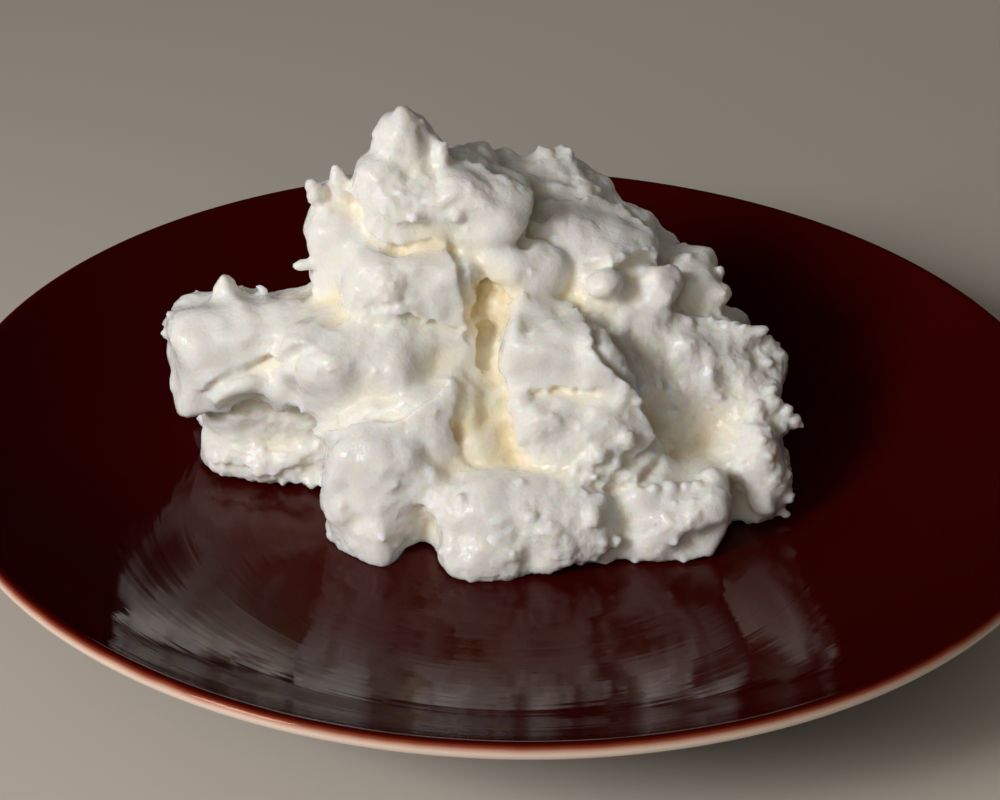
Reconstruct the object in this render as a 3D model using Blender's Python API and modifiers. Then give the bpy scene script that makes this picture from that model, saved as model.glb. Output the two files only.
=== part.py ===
"""A spooned heap of quark on a shallow coupe plate with a pale lip.

Run it with blender --background --python part.py. It uses metres, with +Z up. The origin is on
the axis of the plate, at the level that its foot ring stands on. The front of the heap is at -Y.

The plate is one turned body. The heap is one body: spoonfuls of quark, each a rounded chunk of its
own size and tilt, are fused, hollowed where a spoon went in, roughened like fresh curd and cut
off flat where they lie on the plate.
"""

import math
import random

import bmesh
import bpy
from mathutils import Euler, Matrix, Vector, noise

MM = 0.001

# Plate
PLATE_RADIUS = 98.5 * MM
RIM_HEIGHT = 29.0 * MM
WELL_FLOOR = 8.0 * MM
WELL_FLAT_RADIUS = 48.0 * MM
WELL_CURVE = 1.8
FOOT_WALL = 4.2 * MM
LIP_THICKNESS = 2.6 * MM
LIP_START_DEGREES = 127
FOOT_RADIUS = 55.0 * MM
FOOT_WIDTH = 4.0 * MM
FOOT_ROUNDING = 0.3 * MM
WELL_STEPS = 8
LIP_STEPS = 4
PLATE_SEGMENTS = 64

# Heap
RESTING_GAP = 0.3 * MM
RISING_GAP = 0.36 * MM
FUSE_SIZE = 0.8 * MM
TEAR_SIZE = 9.0
TEAR_SHARE = 0.10
TEAR_ROUGHNESS = 0.9
TEAR_OCTAVES = 3
TEAR_LEVEL = 1.1
TEAR_DOUBLING = 2.1
SWELL_SIZE = 7.0
SWELL_SHARE = 0.14
CHUNK_DETAIL = 4
CRUMB_SIZES = (1.4, 3.0)
CRUMB_STRETCH = (0.7, 1.3)
CRUMB_REACH = (0.9, 1.05)
CRUMB_DETAIL = 3
CRUMB_BOXY = 2.4
BITE_BOXY = 2.2
PEAK_SIDES = 24
PEAK_TIP_SHARE = 0.2
CURD_SIZE = 6.0 * MM
CURD_RELIEF = 2.4 * MM
THIN_SHARE = 0.085
BELOW = 30.0 * MM
MERGE_WITHIN = 0.01 * MM
EASE_SHARE = 0.5
CHANCE_SEED = 11

QUARK_WHITE = (0.86, 0.83, 0.74, 1.0)
QUARK_ROUGHNESS = 0.35
GLAZE_OXBLOOD = (0.045, 0.004, 0.003, 1.0)
GLAZE_ROUGHNESS = 0.08

# Spoonfuls: centre, half sizes, turn about X, Y and Z in millimetres and degrees, how boxy each
# one is, where 2 is an ellipsoid, and how many crumbs of curd stand on its torn faces.
SPOONFULS = {
    # unseen at the back, and under the rest
    "core": ((-2, 17, 22), (34, 22, 18), (0, 0, 0), 2.4, 0),
    "pit_wall": ((-3, 18, 44), (9, 11, 12), (0, 0, 0), 2.6, 0),
    "channel": ((-4.5, 2, 24), (8, 10, 12), (0, 0, 0), 2.4, 0),
    "slab_core": ((33, 11, 14), (12.5, 10, 10), (0, 0, 0), 2.6, 0),
    "front_core": ((12, 0, 12), (9, 8, 8), (0, 0, 0), 2.6, 0),
    "back_left": ((-27, 36, 18), (18, 14, 13), (0, 0, 20), 3, 16),
    "back_middle": ((4, 40, 19), (19, 14, 14), (0, 0, -10), 3, 14),
    "back_right": ((30, 32, 18), (16, 15, 13), (0, 0, -30), 3, 16),
    "back_shelf": ((-18, 32, 38), (16, 12, 12), (0, 0, 25), 3, 12),
    "back_shoulder": ((16, 32, 38), (15, 12, 12), (0, 10, -20), 3, 12),
    "back_crown": ((-9, 25, 52), (12, 9, 11), (0, 0, 10), 2.6, 8),
    # left
    "crumbly_foot": ((-42, 13, 12), (14.5, 12, 5.5), (0, 0, -4), 4, 26),
    "crumbly_foot_top": ((-43, 14, 22), (14, 12, 6.5), (0, 0, -4), 4, 14),
    "left_spoonful": ((-47, 9, 33.5), (14.5, 12, 10), (0, -3, 6), 3.6, 2),
    "left_underside": ((-47, 3.5, 27), (9, 8, 5), (0, -12, 0), 2.4, 8),
    "left_bulge": ((-27, 1, 35), (14, 11, 9), (0, 0, 0), 3, 3),
    "column": ((-14, 3, 36.5), (8, 9, 9), (0, 0, 0), 2.6, 0),
    "shelf": ((-28.5, 15, 51), (8, 10, 10.5), (0, 0, 0), 3.4, 2),
    "shelf_block": ((-18, 6, 49), (11.5, 9, 6.5), (0, 4, 0), 5, 1),
    # top
    "shelf_tooth": ((-30.5, 12, 62), (2, 2.5, 3.6), (0, 12, 0), 2.6, 0),
    "crown": ((-18, 12, 60.5), (10.5, 9, 7.5), (0, 0, 0), 2.6, 6),
    "crown_tooth": ((-19.5, 13, 70), (5.4, 4.8, 7.5), (0, 3, 0), 2.4, 0),
    "crown_small_tooth": ((-13, 12, 69.5), (1.8, 2, 3.6), (0, 0, 0), 2.4, 0),
    "crown_wedge": ((-6.5, 12, 60.5), (9.5, 9, 6), (0, 26, 0), 4, 2),
    "crown_back": ((-7.5, 23, 62.5), (4, 6, 4.5), (0, 0, 0), 2.6, 2),
    "crown_saddle": ((-1, 24, 57), (5, 7, 5), (0, 0, 0), 2.6, 3),
    "upper_right_back": ((9, 28, 55.5), (9.5, 9, 5), (0, 20, 0), 3.2, 8),
    "upper_right": ((14, 20, 52), (12.5, 10, 4.5), (0, 15, 0), 3.6, 4),
    "upper_right_low": ((11, 14, 47), (10, 8, 8), (0, 0, 0), 3, 0),
    # right
    "round_nub": ((16.2, 5.5, 48.2), (3, 3, 3), (0, 0, 0), 2, 0),
    "nub_neighbour": ((24, 9, 45.2), (4.5, 5, 4), (0, 20, 0), 2.6, 1),
    "slab_shoulder": ((22, 8, 40), (7, 7, 6), (0, 25, 0), 2.8, 0),
    "far_right": ((32, 19, 41.5), (5, 8, 7), (0, 0, 0), 3, 4),
    "right_slab": ((32, 4, 25.2), (15, 17, 8), (43, 24.5, -4), 5, 30),
    "right_slab_top": ((32, 10, 34), (13, 9, 6.5), (0, 25, 0), 3.4, 10),
    "right_slab_low": ((42, -1, 17), (7.5, 10, 10.5), (0, -16, 0), 3.2, 8),
    "middle_slab": ((8, -1, 38.5), (10.5, 8, 7.5), (0, 14, 0), 6, 0),
    "middle_slab_ridge": ((17.5, -5, 36.5), (9, 6, 4.5), (0, 52, 0), 3.4, 2),
    "middle_slab_low": ((12, -8, 27.5), (12.5, 8.5, 7), (0, 12, 0), 3.4, 8),
    # front
    "front_left": ((-22.5, -12, 17), (10, 9.5, 13.5), (0, 0, 0), 3.2, 6),
    "front_left_ridge": ((-20, -8, 29), (13.5, 6.5, 4.5), (0, -22, 0), 3, 2),
    "channel_floor": ((-6, -7, 19), (9, 9, 8), (0, 0, 0), 2.6, 0),
    "front_middle": ((2, -13.5, 13), (17, 13.5, 11), (0, 0, 0), 3.4, 14),
    "front_right": ((28, -9, 12.5), (12, 13, 10.5), (0, 5, 0), 3, 8),
}

# Peaks: the tip, and the point that the peak leans up from, in millimetres, with the radius there.
PEAKS = {
    "crown_tip": ((-19.4, 13, 79), (-19.5, 13, 70), 4),
    "left_peak": ((-51.8, 10, 46.2), (-50, 11, 38), 5),
    "left_spur": ((-62.8, 5, 26), (-55, 7, 28), 3),
    "shelf_spike": ((-34.6, 12, 64), (-33.5, 14, 55), 3),
    "upper_right_peak": ((4.4, 30, 64.3), (7, 28, 56), 5),
    "far_right_peak": ((31, 18, 49.5), (32, 18, 43), 4),
    "slab_tip": ((26, 18, 52), (20, 19, 50), 4),
    "right_tip": ((45.1, 8, 38.5), (38, 8, 37), 4),
    "right_spur": ((51.7, 0, 23.8), (44, 1, 26), 3.5),
    "right_low_tip": ((50.1, -6, 9), (45, -4, 16), 3.5),
    "front_left_tip": ((-35, -8, 25.9), (-29, -9, 26), 3),
    "ridge_peak": ((-9.8, -9, 37), (-13, -9, 31), 4),
}

# Bites: the hollows between and under spoonfuls, as centre, half sizes and turn.
BITES = {
    "smooth_recess": ((27, -19, 25), (10, 7, 4.5), (0, 14, 0)),
    "pit": ((-3, -6, 42), (3.4, 9, 10), (0, 6, 0)),
    "notch": ((-14.5, -23, 10), (2.4, 7, 7), (0, 12, 0)),
    "front_gap": ((13.5, -30, 8), (6, 8, 3.5), (0, 0, 0)),
    "right_gap": ((40.5, -16, 13), (2.5, 9, 8), (0, -15, 0)),
    "foot_crevice": ((-43, 0, 16.8), (16, 3, 0.8), (0, 2, 0)),
    "under_left": ((-46, -1, 23.5), (15, 4, 1.6), (0, 0, 0)),
}

chance = random.Random(CHANCE_SEED)


def clear_scene():
    for obj in list(bpy.data.objects):
        bpy.data.objects.remove(obj)


def new_collection(name):
    made = bpy.data.collections.new(name)
    bpy.context.scene.collection.children.link(made)
    return made


def new_material(name, colour, roughness):
    material = bpy.data.materials.new(name)
    material.use_nodes = True
    shader = material.node_tree.nodes["Principled BSDF"]
    shader.inputs["Base Color"].default_value = colour
    shader.inputs["Roughness"].default_value = roughness
    material.diffuse_color = colour
    return material


def lip_point(degrees):
    """(radius, height) on the round of the lip, at an angle above straight outward."""
    angle = math.radians(degrees)
    half = LIP_THICKNESS / 2
    return PLATE_RADIUS - half + half * math.cos(angle), RIM_HEIGHT - half + half * math.sin(angle)


WELL_EDGE_RADIUS, WELL_EDGE_HEIGHT = lip_point(LIP_START_DEGREES)


def well_share(radius):
    """How far from the flat floor, at 0, to where the lip's round begins, at 1."""
    return max(0.0, radius - WELL_FLAT_RADIUS) / (WELL_EDGE_RADIUS - WELL_FLAT_RADIUS)


def well_height(radius):
    """Height of the inner surface: a flat floor, then a rise that steepens to the lip."""
    return WELL_FLOOR + (WELL_EDGE_HEIGHT - WELL_FLOOR) * well_share(radius) ** WELL_CURVE


def plate_profile():
    """(radius, height) round the plate's section, from the axis on top to the axis underneath."""
    inner = [(0.0, WELL_FLOOR)]
    outer = []
    for step in range(WELL_STEPS):
        radius = WELL_FLAT_RADIUS + (WELL_EDGE_RADIUS - WELL_FLAT_RADIUS) * step / WELL_STEPS
        height = well_height(radius)
        slope = math.atan((well_height(radius + MM) - well_height(radius - MM)) / (2 * MM))
        wall = FOOT_WALL + (LIP_THICKNESS - FOOT_WALL) * well_share(radius)
        up, out = math.cos(slope), math.sin(slope)
        inner.append((radius, height))
        if radius > FOOT_RADIUS:
            outer.insert(0, (radius + wall * out, height - wall * up))
    lip = [lip_point(LIP_START_DEGREES - 180 * step / LIP_STEPS) for step in range(LIP_STEPS + 1)]
    foot = [
        (FOOT_RADIUS + 0.5 * FOOT_WIDTH, FOOT_ROUNDING),
        (FOOT_RADIUS + 0.3 * FOOT_WIDTH, 0.0),
        (FOOT_RADIUS - 0.3 * FOOT_WIDTH, 0.0),
        (FOOT_RADIUS - 0.6 * FOOT_WIDTH, WELL_FLOOR - FOOT_WALL - 2 * FOOT_ROUNDING),
        (FOOT_RADIUS - FOOT_WIDTH, WELL_FLOOR - FOOT_WALL),
        (0.0, WELL_FLOOR - FOOT_WALL),
    ]
    return inner + lip + outer + foot


def turned_object(name, profile, collection):
    """A profile of (radius, height), turned about the Z axis."""
    mesh = bpy.data.meshes.new(name)
    edges = [(i, i + 1) for i in range(len(profile) - 1)]
    mesh.from_pydata([(radius, 0.0, height) for radius, height in profile], edges, [])
    made = bpy.data.objects.new(name, mesh)
    collection.objects.link(made)
    turn = made.modifiers.new("turn", "SCREW")
    turn.steps = PLATE_SEGMENTS
    turn.render_steps = PLATE_SEGMENTS
    turn.use_merge_vertices = True
    turn.merge_threshold = MERGE_WITHIN
    return made


def make_plate(collection, material):
    plate = turned_object("plate", plate_profile(), collection)
    plate.data.materials.append(material)
    return plate


def turned(turn):
    return Euler([math.radians(angle) for angle in turn]).to_matrix()


def torn_noise(place):
    """Noise with sharp ridges, like the edges that tearing leaves."""
    offset, gain = 1.0, 2.0
    return noise.ridged_multi_fractal(
        place / TEAR_SIZE, TEAR_ROUGHNESS, TEAR_DOUBLING, TEAR_OCTAVES, offset, gain
    )


def add_chunk(bm, centre, half, turn, boxy, detail=CHUNK_DETAIL):
    """One chunk: a sphere drawn out to a rounded box, torn uneven all over, and tipped as it fell."""
    made = bmesh.ops.create_icosphere(bm, subdivisions=detail, radius=1.0)
    tip = turned(turn)
    centre = Vector(centre)
    stretch = Matrix.Diagonal(half)
    reach = min(half)
    for vert in made["verts"]:
        out = vert.co.normalized()
        square = sum(abs(part) ** boxy for part in out) ** (-1.0 / boxy)
        side = tip @ (stretch @ (out * square))
        place = centre + side
        tear = torn_noise(place) - TEAR_LEVEL
        swell = noise.noise(place / SWELL_SIZE)
        uneven = TEAR_SHARE * tear + SWELL_SHARE * swell
        vert.co = (place + side.normalized() * reach * uneven) * MM


def add_crumbs(bm, centre, half, turn, count):
    """Lumps of curd stuck all over a chunk."""
    spread = turned(turn) @ Matrix.Diagonal(half)
    for _ in range(count):
        out = Vector([chance.gauss(0, 1) for _ in range(3)]).normalized()
        spot = Vector(centre) + spread @ (out * chance.uniform(*CRUMB_REACH))
        size = chance.uniform(*CRUMB_SIZES)
        sizes = [size * chance.uniform(*CRUMB_STRETCH) for _ in range(3)]
        turns = [chance.uniform(0, 180) for _ in range(3)]
        add_chunk(bm, spot, sizes, turns, CRUMB_BOXY, CRUMB_DETAIL)


def add_peak(bm, tip, root, radius):
    """A pulled-up peak: a cone with its point at tip."""
    tip, root = Vector(tip), Vector(root)
    lean = (tip - root).to_track_quat("Z", "Y").to_matrix().to_4x4()
    bmesh.ops.create_cone(
        bm,
        cap_ends=True,
        segments=PEAK_SIDES,
        radius1=radius * MM,
        radius2=PEAK_TIP_SHARE * radius * MM,
        depth=(tip - root).length * MM,
        matrix=Matrix.Translation((tip + root) / 2 * MM) @ lean,
    )


def mesh_object(bm, name, collection):
    mesh = bpy.data.meshes.new(name)
    bm.to_mesh(mesh)
    bm.free()
    made = bpy.data.objects.new(name, mesh)
    collection.objects.link(made)
    return made


def as_cutter(obj):
    obj.hide_render = True
    obj.display_type = "WIRE"
    return obj


def fuse(obj, name, size):
    remesh = obj.modifiers.new(name, "REMESH")
    remesh.mode = "VOXEL"
    remesh.voxel_size = size
    remesh.use_smooth_shade = True


def cut_away(obj, name, cutter):
    cut = obj.modifiers.new(name, "BOOLEAN")
    cut.operation = "DIFFERENCE"
    cut.solver = "EXACT"
    cut.object = cutter


def ease(obj, name, times):
    smooth = obj.modifiers.new(name, "SMOOTH")
    smooth.factor = EASE_SHARE
    smooth.iterations = times


def make_bites(collection):
    """The hollows, as one cutter."""
    bm = bmesh.new()
    for centre, half, turn in BITES.values():
        add_chunk(bm, centre, half, turn, BITE_BOXY, CRUMB_DETAIL)
    return as_cutter(mesh_object(bm, "bites", collection))


def make_well_cutter(collection):
    """All that would lie lower than the heap's underside, which follows the well."""
    rest = [(0.0, WELL_FLOOR + RESTING_GAP)]
    for step in range(WELL_STEPS + 1):
        radius = WELL_FLAT_RADIUS + (PLATE_RADIUS - WELL_FLAT_RADIUS) * step / WELL_STEPS
        rest.append((radius, well_height(radius) + RISING_GAP))
    rest += [(PLATE_RADIUS, -BELOW), (0.0, -BELOW)]
    return as_cutter(turned_object("below_the_heap", rest, collection))


def make_heap(collection, cutters, material):
    """The heap, from its spoonfuls, crumbs and peaks."""
    bm = bmesh.new()
    for centre, half, turn, boxy, crumbs in SPOONFULS.values():
        add_chunk(bm, centre, half, turn, boxy)
        add_crumbs(bm, centre, half, turn, crumbs)
    for tip, root, radius in PEAKS.values():
        add_peak(bm, tip, root, radius)
    heap = mesh_object(bm, "quark", collection)
    heap.data.materials.append(material)
    fuse(heap, "fuse_spoonfuls", FUSE_SIZE)
    cut_away(heap, "spoon_in", make_bites(cutters))
    curd = bpy.data.textures.new("curd", "CLOUDS")
    curd.noise_scale = CURD_SIZE
    push = heap.modifiers.new("curd", "DISPLACE")
    push.texture = curd
    push.texture_coords = "GLOBAL"
    push.strength = CURD_RELIEF
    fuse(heap, "fuse_curd", FUSE_SIZE)
    ease(heap, "ease", 1)
    thin = heap.modifiers.new("thin", "DECIMATE")
    thin.ratio = THIN_SHARE
    cut_away(heap, "rest_flat", make_well_cutter(cutters))
    return heap


def main():
    clear_scene()
    part = new_collection("quark_on_plate")
    cutters = new_collection("cutters")
    glaze = new_material("oxblood_glaze", GLAZE_OXBLOOD, GLAZE_ROUGHNESS)
    quark = new_material("fresh_quark", QUARK_WHITE, QUARK_ROUGHNESS)
    make_plate(part, glaze)
    make_heap(part, cutters, quark)


main()
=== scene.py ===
# %% [markdown]
# # A plate of quark
#
# A heap of fresh quark lies on a shallow stoneware plate with a dark red-brown glaze. The solids of
# both are loaded as a fixed frame. This notebook gives each one its real surface. The quark gets
# its torn curd, spoon marks and moist sheen. The plate gets a smooth turned body and a glaze that
# thins to a pale lip. Lengths are in metres, and a millimetre is written as `MM`. Only the tables
# that shape the heap, and the functions that read them, work in bare millimetres.

# %% Load the frame
import math
import random

import bmesh
import bpy
import numpy as np
from mathutils import Euler, Matrix, Vector, noise


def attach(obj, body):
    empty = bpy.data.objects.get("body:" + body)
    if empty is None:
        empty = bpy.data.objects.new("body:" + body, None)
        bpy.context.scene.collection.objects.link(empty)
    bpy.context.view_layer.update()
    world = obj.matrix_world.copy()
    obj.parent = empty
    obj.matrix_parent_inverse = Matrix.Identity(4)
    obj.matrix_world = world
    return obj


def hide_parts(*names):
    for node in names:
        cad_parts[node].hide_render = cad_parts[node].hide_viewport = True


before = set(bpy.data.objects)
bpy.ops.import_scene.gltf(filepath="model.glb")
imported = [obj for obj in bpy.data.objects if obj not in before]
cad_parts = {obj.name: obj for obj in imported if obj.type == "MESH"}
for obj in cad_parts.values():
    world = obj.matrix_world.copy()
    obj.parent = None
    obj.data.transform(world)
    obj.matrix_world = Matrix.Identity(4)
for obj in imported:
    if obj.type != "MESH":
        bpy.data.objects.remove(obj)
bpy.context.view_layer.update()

MM = 0.001

# %% [markdown]
# ## The camera
#
# The rim of a round plate shows as an ellipse, and its shape and size fix where the camera stood:
# nearly 30 degrees above the table, and a bit less than 0.4 m from the heap. The photograph leans by
# one degree, so the camera is rolled by the same angle.

# %% Camera
AIM = Vector((-1.9, -0.2, 28.0)) * MM
DISTANCE = 388.8 * MM
ELEVATION = math.radians(29.8)
ROLL = math.radians(1.16)
SENSOR_WIDTH_MM = 36.0
LENS_MM = 79.2

camera = bpy.data.objects.new("camera", bpy.data.cameras.new("camera"))
bpy.context.scene.collection.objects.link(camera)
camera.data.sensor_width = SENSOR_WIDTH_MM
camera.data.lens = LENS_MM
camera.data.clip_start = 10 * MM
towards_camera = Vector((0.0, -math.cos(ELEVATION), math.sin(ELEVATION)))
looking = (-towards_camera).to_track_quat("-Z", "Y").to_matrix().to_4x4()
camera.matrix_world = (
    Matrix.Translation(AIM + towards_camera * DISTANCE) @ looking @ Matrix.Rotation(ROLL, 4, "Z")
)
bpy.context.scene.camera = camera
print("camera at", [round(part, 3) for part in camera.location])

# %% [markdown]
# ## Helpers for materials
#
# Colours are given as sRGB hex values, the way a colour picker shows them. Shaders work in
# linear light, so one function turns them over. A second one adds a node with its settings and its
# links in one call, which keeps each material below short enough to read.

# %% Colour and node helpers


def linear(hex_colour):
    """An sRGB hex value as linear red, green and blue, and full alpha."""
    parts = [int(hex_colour[i : i + 2], 16) / 255 for i in (1, 3, 5)]
    return [p / 12.92 if p <= 0.04045 else ((p + 0.055) / 1.055) ** 2.4 for p in parts] + [1.0]


def add_node(tree, kind, settings=None, **inputs):
    """Adds a node. Inputs are values, or sockets to link.

    Spaces in an input's name are written as _, and i0 is the first input, i1 the second.
    """
    node = tree.nodes.new(kind)
    for name, value in (settings or {}).items():
        setattr(node, name, value)
    for name, value in inputs.items():
        socket = node.inputs[int(name[1:])] if name[0] == "i" and name[1:].isdigit() else None
        socket = socket or node.inputs[name.replace("_", " ")]
        if isinstance(value, bpy.types.NodeSocket):
            tree.links.new(value, socket)
        else:
            socket.default_value = value
    return node


def new_material(name):
    """A material with a Principled shader, its tree and the shader."""
    material = bpy.data.materials.new(name)
    material.use_nodes = True
    tree = material.node_tree
    return material, tree, tree.nodes["Principled BSDF"]


print("middle grey, linear:", round(linear("#808080")[0], 3))

# %% [markdown]
# ## The plate's body
#
# A coupe plate has no separate rim. Its flat well turns up in one curve to a rounded lip. It is
# thrown or jiggered on a wheel, so a profile turned about the axis makes it exactly as it is made in
# clay. The solid has 64 flat sides, which show as corners on a glossy lip, so this piece is turned
# again from the same curve with many more steps.

# %% The plate's sizes
PLATE_RADIUS = 98.5 * MM
RIM_HEIGHT = 29.0 * MM
WELL_FLOOR = 8.0 * MM
WELL_FLAT_RADIUS = 48.0 * MM
WELL_CURVE = 1.8
FLOOR_RADII = (0.0, 15.0 * MM, 30.0 * MM, 40.0 * MM)
FOOT_WALL = 4.2 * MM
LIP_THICKNESS = 2.6 * MM
LIP_START_DEGREES = 127
FOOT_RADIUS = 55.0 * MM
FOOT_WIDTH = 4.0 * MM
FOOT_FLAT = 0.3 * FOOT_WIDTH
FOOT_INSIDE = 0.6 * FOOT_WIDTH
FOOT_ROUNDING = 0.3 * MM
WELL_STEPS = 48
LIP_STEPS = 20
TURN_STEPS = 320
MERGE_WITHIN = 0.01 * MM


def lip_point(degrees):
    """(radius, height) on the round of the lip, at an angle above straight outward."""
    angle = math.radians(degrees)
    half = LIP_THICKNESS / 2
    return PLATE_RADIUS - half + half * math.cos(angle), RIM_HEIGHT - half + half * math.sin(angle)


WELL_EDGE_RADIUS, WELL_EDGE_HEIGHT = lip_point(LIP_START_DEGREES)
print("well ends at radius and height:", round(WELL_EDGE_RADIUS, 4), round(WELL_EDGE_HEIGHT, 4))

# %% The profile


def well_share(radius):
    """How far from the flat floor, at 0, to where the lip's round begins, at 1."""
    return np.maximum(0.0, radius - WELL_FLAT_RADIUS) / (WELL_EDGE_RADIUS - WELL_FLAT_RADIUS)


def well_height(radius):
    """Height of the inner surface: a flat floor, then a rise that steepens to the lip."""
    return WELL_FLOOR + (WELL_EDGE_HEIGHT - WELL_FLOOR) * well_share(radius) ** WELL_CURVE


def plate_profile():
    """(radius, height) from the axis on top, over the lip, to the axis underneath."""
    inner = [(radius, WELL_FLOOR) for radius in FLOOR_RADII]
    outer = []
    for step in range(WELL_STEPS):
        radius = WELL_FLAT_RADIUS + (WELL_EDGE_RADIUS - WELL_FLAT_RADIUS) * step / WELL_STEPS
        height = well_height(radius)
        slope = math.atan((well_height(radius + MM) - well_height(radius - MM)) / (2 * MM))
        wall = FOOT_WALL + (LIP_THICKNESS - FOOT_WALL) * well_share(radius)
        inner.append((radius, height))
        if radius > FOOT_RADIUS:
            outer.insert(0, (radius + wall * math.sin(slope), height - wall * math.cos(slope)))
    lip = [lip_point(LIP_START_DEGREES - 180 * step / LIP_STEPS) for step in range(LIP_STEPS + 1)]
    foot = [
        (FOOT_RADIUS + FOOT_WIDTH / 2, FOOT_ROUNDING),
        (FOOT_RADIUS + FOOT_FLAT, 0.0),
        (FOOT_RADIUS - FOOT_FLAT, 0.0),
        (FOOT_RADIUS - FOOT_INSIDE, WELL_FLOOR - FOOT_WALL - 2 * FOOT_ROUNDING),
        (FOOT_RADIUS - FOOT_WIDTH, WELL_FLOOR - FOOT_WALL),
        (0.0, WELL_FLOOR - FOOT_WALL),
    ]
    return inner + lip + outer + foot


print("points of the profile:", len(plate_profile()))

# %% Turn it about the axis


def new_piece(name, mesh):
    piece = bpy.data.objects.new(name, mesh)
    bpy.context.scene.collection.objects.link(piece)
    return piece


def apply_modifiers(piece):
    """Keeps the mesh that the modifiers make, and removes them."""
    graph = bpy.context.evaluated_depsgraph_get()
    made = bpy.data.meshes.new_from_object(piece.evaluated_get(graph), depsgraph=graph)
    piece.modifiers.clear()
    old = piece.data
    piece.data = made
    bpy.data.meshes.remove(old)


def turn_plate():
    profile = plate_profile()
    mesh = bpy.data.meshes.new("glazed_plate")
    edges = [(i, i + 1) for i in range(len(profile) - 1)]
    mesh.from_pydata([(radius, 0.0, height) for radius, height in profile], edges, [])
    plate = new_piece("glazed_plate", mesh)
    turn = plate.modifiers.new("turn", "SCREW")
    turn.steps = turn.render_steps = TURN_STEPS
    turn.use_merge_vertices = True
    turn.merge_threshold = MERGE_WITHIN
    apply_modifiers(plate)
    plate.data.shade_smooth()
    return plate


plate = turn_plate()
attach(plate, "root")
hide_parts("plate")
print("plate faces:", len(plate.data.polygons))

# %% [markdown]
# ## The glaze
#
# The plate is glazed stoneware: an iron-rich oxblood glaze, fired to a glassy coat. Where it is thick
# it is almost black-red. It runs off the lip as it melts, so there it thins through orange-brown to
# the pale body. How far a point lies out over the rounding of the lip, which is its distance outward
# less its height, says how thick the coat is, so that drives the colour.
#
# The coat is glass, with an IOR of 1.45 and a low roughness. Its full gloss would show the white heap
# in it as a bright picture. On the real plate that picture is dim and a little red, so the specular
# level is low and the specular tint a pale red. The wheel leaves faint rings under the glaze, and
# their bump drags the picture into streaks.

# %% What the glaze is like
OXBLOOD = "#3a0402"
# From the thick coat to the bare body: a share of the fade over the lip, and the colour there.
GLAZE_STEPS = ((0.2, "#5a1409"), (0.42, "#8c4a34"), (0.62, "#c39784"), (0.85, "#dccabd"))
GLAZE_ROUGHNESS = 0.07
# The shader's specular level, where 0.5 is the full gloss of such a glass.
GLAZE_MIRROR = 0.2
GLAZE_IOR = 1.45
GLAZE_TINT = "#ffc8bc"
# Where the coat begins to thin and where it ends, from the lip's centre, and how far drips shift it.
LIP_FADE = (-1.2 * MM, 1.6 * MM)
LIP_SWAY = 0.5 * MM
SWAY_SIZE = 7 * MM
# Rings from the wheel are finer than this. They are drawn as coarse as they need to show.
RING_SPACING = 2.6 * MM
RING_DEPTH = 0.045 * MM
print("thick glaze, linear:", [round(part, 4) for part in linear(OXBLOOD)[:3]])

# %% Glaze material


def out_over_lip(tree, place):
    """The distance from the axis, and that distance less the height."""
    parts = add_node(tree, "ShaderNodeSeparateXYZ", Vector=place)
    flat = add_node(
        tree, "ShaderNodeCombineXYZ", X=parts.outputs["X"], Y=parts.outputs["Y"], Z=0.0
    )
    radius = add_node(tree, "ShaderNodeVectorMath", {"operation": "LENGTH"}, i0=flat.outputs[0])
    out = add_node(
        tree,
        "ShaderNodeMath",
        {"operation": "SUBTRACT"},
        i0=radius.outputs["Value"],
        i1=parts.outputs["Z"],
    )
    return radius.outputs["Value"], out.outputs[0]


def glazed_stoneware():
    material, tree, shader = new_material("glazed_stoneware_oxblood")
    place = add_node(tree, "ShaderNodeTexCoord").outputs["Object"]
    radius, out = out_over_lip(tree, place)
    drips = add_node(tree, "ShaderNodeTexNoise", Vector=place, Scale=1 / SWAY_SIZE, Detail=3.0)
    sway = add_node(
        tree,
        "ShaderNodeMath",
        {"operation": "MULTIPLY_ADD"},
        i0=drips.outputs["Fac"],
        i1=LIP_SWAY,
        i2=out,
    )
    # The value of `sway` at the lip's centre, where the noise of the drips is at its middle.
    level = PLATE_RADIUS - RIM_HEIGHT + LIP_SWAY / 2
    thin = add_node(
        tree,
        "ShaderNodeMapRange",
        Value=sway.outputs[0],
        From_Min=level + LIP_FADE[0],
        From_Max=level + LIP_FADE[1],
    )
    ramp = add_node(tree, "ShaderNodeValToRGB", Fac=thin.outputs[0])
    stops = ramp.color_ramp.elements
    stops[0].color = linear(OXBLOOD)
    stops[1].color = linear(GLAZE_STEPS[-1][1])
    for position, colour in GLAZE_STEPS:
        stops.new(position).color = linear(colour)
    tree.links.new(ramp.outputs["Color"], shader.inputs["Base Color"])
    rings = add_node(
        tree,
        "ShaderNodeTexNoise",
        {"noise_dimensions": "1D"},
        W=radius,
        Scale=1 / RING_SPACING,
        Detail=2.0,
    )
    bump = add_node(tree, "ShaderNodeBump", Height=rings.outputs["Fac"], Distance=RING_DEPTH)
    tree.links.new(bump.outputs["Normal"], shader.inputs["Normal"])
    shader.inputs["Roughness"].default_value = GLAZE_ROUGHNESS
    shader.inputs["IOR"].default_value = GLAZE_IOR
    shader.inputs["Specular IOR Level"].default_value = GLAZE_MIRROR
    shader.inputs["Specular Tint"].default_value = linear(GLAZE_TINT)
    return material


plate.data.materials.clear()
plate.data.materials.append(glazed_stoneware())
print("glaze nodes:", len(plate.data.materials[0].node_tree.nodes))

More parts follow.
